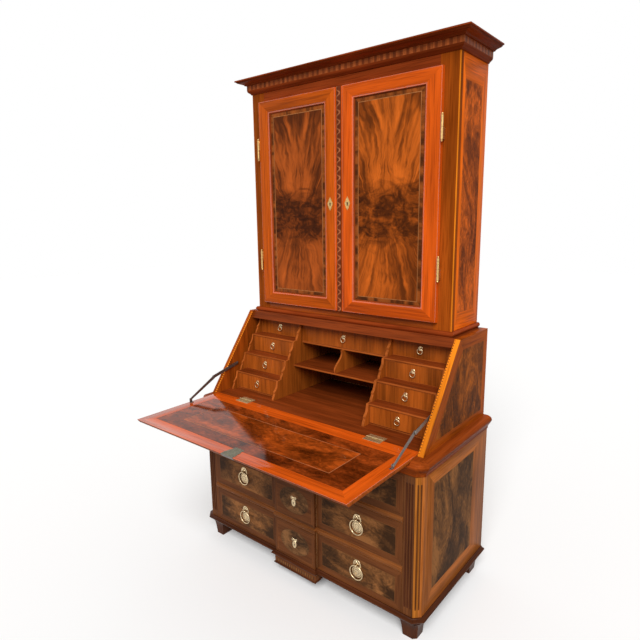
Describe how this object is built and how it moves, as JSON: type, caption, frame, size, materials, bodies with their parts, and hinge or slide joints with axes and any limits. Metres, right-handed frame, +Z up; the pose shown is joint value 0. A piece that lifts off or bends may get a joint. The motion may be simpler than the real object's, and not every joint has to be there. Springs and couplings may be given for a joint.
{
  "type": "secretaire cabinet",
  "caption": "Slant-front secretaire on a canted chest of drawers, with a two-door cupboard above, a fold-down writing flap on elbow stays and a fitted interior.",
  "frame": {"origin": "on the floor, midway between the back of the cabinet and the front edge of the open flap, on the cabinet's middle plane", "axes": "+Z up; -Y towards the user, so the back of the cabinet is at +Y; +X to the user's right"},
  "size_m": [1.196, 0.9418, 2.15],
  "materials": {
    "walnut": "polished walnut with figured panels",
    "burl_walnut": "polished burl walnut",
    "cherry": "polished cherry with a high gloss",
    "golden_walnut": "polished golden walnut",
    "dark_walnut": "polished dark walnut",
    "drawer_walnut": "polished walnut",
    "pine": "plain sawn softwood",
    "brass": "polished",
    "steel": "worn"
  },
  "bodies": {
    "case": {"base_and_feet": "dark_walnut", "commode_side_left": "golden_walnut", "commode_side_right": "golden_walnut", "drawer_frame_lower": "walnut", "drawer_frame_middle": "walnut", "commode_top": "walnut", "commode_and_desk_back": "pine", "desk_side_left": "golden_walnut", "desk_side_right": "golden_walnut", "writing_bed": "walnut", "desk_top_and_waist": "walnut", "desk_gallery": "walnut", "cupboard_case": "walnut", "cupboard_back_and_shelf": "pine", "cornice": "dark_walnut"},
    "flap": {"flap": "cherry"},
    "stay_upper_left": {"stay_upper_left": "steel"},
    "stay_lower_left": {"stay_lower_left": "steel"},
    "stay_upper_right": {"stay_upper_right": "steel"},
    "stay_lower_right": {"stay_lower_right": "steel"},
    "door_left": {"door_left_frame": "cherry", "door_left_panel": "burl_walnut"},
    "door_right": {"door_right_frame": "cherry", "door_right_panel": "burl_walnut"},
    "long_drawer_bottom": {"long_drawer_bottom": "walnut", "centre_block_bottom": "walnut", "pull_plate_bottom_left": "brass", "pull_plate_bottom_right": "brass"},
    "ring_bottom_left": {"ring_bottom_left": "brass"},
    "ring_bottom_right": {"ring_bottom_right": "brass"},
    "long_drawer_middle": {"long_drawer_middle": "walnut", "centre_block_middle": "walnut", "pull_plate_middle_left": "brass", "pull_plate_middle_right": "brass"},
    "ring_middle_left": {"ring_middle_left": "brass"},
    "ring_middle_right": {"ring_middle_right": "brass"},
    "long_drawer_top": {"long_drawer_top": "walnut", "centre_block_top": "walnut", "pull_plate_top_left": "brass", "pull_plate_top_right": "brass"},
    "ring_top_left": {"ring_top_left": "brass"},
    "ring_top_right": {"ring_top_right": "brass"},
    "small_drawer_left_1": {"small_drawer_left_1": "drawer_walnut"},
    "small_drawer_left_1_ring": {"small_drawer_left_1_ring": "brass"},
    "small_drawer_right_1": {"small_drawer_right_1": "drawer_walnut"},
    "small_drawer_right_1_ring": {"small_drawer_right_1_ring": "brass"},
    "small_drawer_left_2": {"small_drawer_left_2": "drawer_walnut"},
    "small_drawer_left_2_ring": {"small_drawer_left_2_ring": "brass"},
    "small_drawer_right_2": {"small_drawer_right_2": "drawer_walnut"},
    "small_drawer_right_2_ring": {"small_drawer_right_2_ring": "brass"},
    "small_drawer_left_3": {"small_drawer_left_3": "drawer_walnut"},
    "small_drawer_left_3_ring": {"small_drawer_left_3_ring": "brass"},
    "small_drawer_right_3": {"small_drawer_right_3": "drawer_walnut"},
    "small_drawer_right_3_ring": {"small_drawer_right_3_ring": "brass"},
    "small_drawer_left_4": {"small_drawer_left_4": "drawer_walnut"},
    "small_drawer_left_4_ring": {"small_drawer_left_4_ring": "brass"},
    "small_drawer_right_4": {"small_drawer_right_4": "drawer_walnut"},
    "small_drawer_right_4_ring": {"small_drawer_right_4_ring": "brass"},
    "small_drawer_centre": {"small_drawer_centre": "drawer_walnut"},
    "small_drawer_centre_ring": {"small_drawer_centre_ring": "brass"}
  },
  "joints": [
    {"name": "flap_hinge", "type": "hinge", "parent": "case", "child": "flap", "pos_m": [0, -0.03412, 0.7225], "axis": [1, 0, 0], "range_deg": [-126, 0]},
    {"name": "stay_upper_left_pivot", "type": "hinge", "parent": "case", "child": "stay_upper_left", "pos_m": [-0.5335, 0.08838, 0.8385], "axis": [1, 0, 0], "range_deg": [-141.09, 0]},
    {"name": "stay_lower_left_pivot", "type": "hinge", "parent": "flap", "child": "stay_lower_left", "pos_m": [-0.53, -0.20212, 0.732], "axis": [1, 0, 0], "range_deg": [0, 143.36]},
    {"name": "stay_upper_right_pivot", "type": "hinge", "parent": "case", "child": "stay_upper_right", "pos_m": [0.5335, 0.08838, 0.8385], "axis": [1, 0, 0], "range_deg": [-141.09, 0]},
    {"name": "stay_lower_right_pivot", "type": "hinge", "parent": "flap", "child": "stay_lower_right", "pos_m": [0.53, -0.20212, 0.732], "axis": [1, 0, 0], "range_deg": [0, 143.36]},
    {"name": "door_left_hinge", "type": "hinge", "parent": "case", "child": "door_left", "pos_m": [-0.4615, 0.20993, 1.589], "axis": [0, 0, -1], "range_deg": [0, 110]},
    {"name": "door_right_hinge", "type": "hinge", "parent": "case", "child": "door_right", "pos_m": [0.4615, 0.20993, 1.589], "axis": [0, 0, 1], "range_deg": [0, 110]},
    {"name": "long_drawer_bottom_slide", "type": "slide", "parent": "case", "child": "long_drawer_bottom", "axis": [0, -1, 0], "range_m": [0, 0.4]},
    {"name": "ring_bottom_left_lift", "type": "hinge", "parent": "long_drawer_bottom", "child": "ring_bottom_left", "pos_m": [-0.312, -0.10162, 0.2109], "axis": [-1, 0, 0], "range_deg": [0, 100]},
    {"name": "ring_bottom_right_lift", "type": "hinge", "parent": "long_drawer_bottom", "child": "ring_bottom_right", "pos_m": [0.312, -0.10162, 0.2109], "axis": [-1, 0, 0], "range_deg": [0, 100]},
    {"name": "long_drawer_middle_slide", "type": "slide", "parent": "case", "child": "long_drawer_middle", "axis": [0, -1, 0], "range_m": [0, 0.4]},
    {"name": "ring_middle_left_lift", "type": "hinge", "parent": "long_drawer_middle", "child": "ring_middle_left", "pos_m": [-0.312, -0.10162, 0.4033], "axis": [-1, 0, 0], "range_deg": [0, 100]},
    {"name": "ring_middle_right_lift", "type": "hinge", "parent": "long_drawer_middle", "child": "ring_middle_right", "pos_m": [0.312, -0.10162, 0.4033], "axis": [-1, 0, 0], "range_deg": [0, 100]},
    {"name": "long_drawer_top_slide", "type": "slide", "parent": "case", "child": "long_drawer_top", "axis": [0, -1, 0], "range_m": [0, 0.4]},
    {"name": "ring_top_left_lift", "type": "hinge", "parent": "long_drawer_top", "child": "ring_top_left", "pos_m": [-0.312, -0.10162, 0.5935], "axis": [-1, 0, 0], "range_deg": [0, 100]},
    {"name": "ring_top_right_lift", "type": "hinge", "parent": "long_drawer_top", "child": "ring_top_right", "pos_m": [0.312, -0.10162, 0.5935], "axis": [-1, 0, 0], "range_deg": [0, 100]},
    {"name": "small_drawer_left_1_slide", "type": "slide", "parent": "case", "child": "small_drawer_left_1", "axis": [0, -1, 0], "range_m": [0, 0.26]},
    {"name": "small_drawer_left_1_ring_lift", "type": "hinge", "parent": "small_drawer_left_1", "child": "small_drawer_left_1_ring", "pos_m": [-0.38125, 0.06828, 0.7702], "axis": [-1, 0, 0], "range_deg": [0, 100]},
    {"name": "small_drawer_right_1_slide", "type": "slide", "parent": "case", "child": "small_drawer_right_1", "axis": [0, -1, 0], "range_m": [0, 0.26]},
    {"name": "small_drawer_right_1_ring_lift", "type": "hinge", "parent": "small_drawer_right_1", "child": "small_drawer_right_1_ring", "pos_m": [0.38125, 0.06828, 0.7702], "axis": [-1, 0, 0], "range_deg": [0, 100]},
    {"name": "small_drawer_left_2_slide", "type": "slide", "parent": "case", "child": "small_drawer_left_2", "axis": [0, -1, 0], "range_m": [0, 0.22]},
    {"name": "small_drawer_left_2_ring_lift", "type": "hinge", "parent": "small_drawer_left_2", "child": "small_drawer_left_2_ring", "pos_m": [-0.38125, 0.12427, 0.8517], "axis": [-1, 0, 0], "range_deg": [0, 100]},
    {"name": "small_drawer_right_2_slide", "type": "slide", "parent": "case", "child": "small_drawer_right_2", "axis": [0, -1, 0], "range_m": [0, 0.22]},
    {"name": "small_drawer_right_2_ring_lift", "type": "hinge", "parent": "small_drawer_right_2", "child": "small_drawer_right_2_ring", "pos_m": [0.38125, 0.12427, 0.8517], "axis": [-1, 0, 0], "range_deg": [0, 100]},
    {"name": "small_drawer_left_3_slide", "type": "slide", "parent": "case", "child": "small_drawer_left_3", "axis": [0, -1, 0], "range_m": [0, 0.19]},
    {"name": "small_drawer_left_3_ring_lift", "type": "hinge", "parent": "small_drawer_left_3", "child": "small_drawer_left_3_ring", "pos_m": [-0.38125, 0.18027, 0.9332], "axis": [-1, 0, 0], "range_deg": [0, 100]},
    {"name": "small_drawer_right_3_slide", "type": "slide", "parent": "case", "child": "small_drawer_right_3", "axis": [0, -1, 0], "range_m": [0, 0.19]},
    {"name": "small_drawer_right_3_ring_lift", "type": "hinge", "parent": "small_drawer_right_3", "child": "small_drawer_right_3_ring", "pos_m": [0.38125, 0.18027, 0.9332], "axis": [-1, 0, 0], "range_deg": [0, 100]},
    {"name": "small_drawer_left_4_slide", "type": "slide", "parent": "case", "child": "small_drawer_left_4", "axis": [0, -1, 0], "range_m": [0, 0.15]},
    {"name": "small_drawer_left_4_ring_lift", "type": "hinge", "parent": "small_drawer_left_4", "child": "small_drawer_left_4_ring", "pos_m": [-0.38125, 0.23627, 1.0147], "axis": [-1, 0, 0], "range_deg": [0, 100]},
    {"name": "small_drawer_right_4_slide", "type": "slide", "parent": "case", "child": "small_drawer_right_4", "axis": [0, -1, 0], "range_m": [0, 0.15]},
    {"name": "small_drawer_right_4_ring_lift", "type": "hinge", "parent": "small_drawer_right_4", "child": "small_drawer_right_4_ring", "pos_m": [0.38125, 0.23627, 1.0147], "axis": [-1, 0, 0], "range_deg": [0, 100]},
    {"name": "small_drawer_centre_slide", "type": "slide", "parent": "case", "child": "small_drawer_centre", "axis": [0, -1, 0], "range_m": [0, 0.15]},
    {"name": "small_drawer_centre_ring_lift", "type": "hinge", "parent": "small_drawer_centre", "child": "small_drawer_centre_ring", "pos_m": [0, 0.23627, 1.0095], "axis": [-1, 0, 0], "range_deg": [0, 100]}
  ],
  "couplings": [
    {"joint": "stay_upper_left_pivot", "follows": "flap_hinge", "ratio": 1.1197},
    {"joint": "stay_lower_left_pivot", "follows": "flap_hinge", "ratio": -1.1377},
    {"joint": "stay_upper_right_pivot", "follows": "flap_hinge", "ratio": 1.1197},
    {"joint": "stay_lower_right_pivot", "follows": "flap_hinge", "ratio": -1.1377}
  ]
}
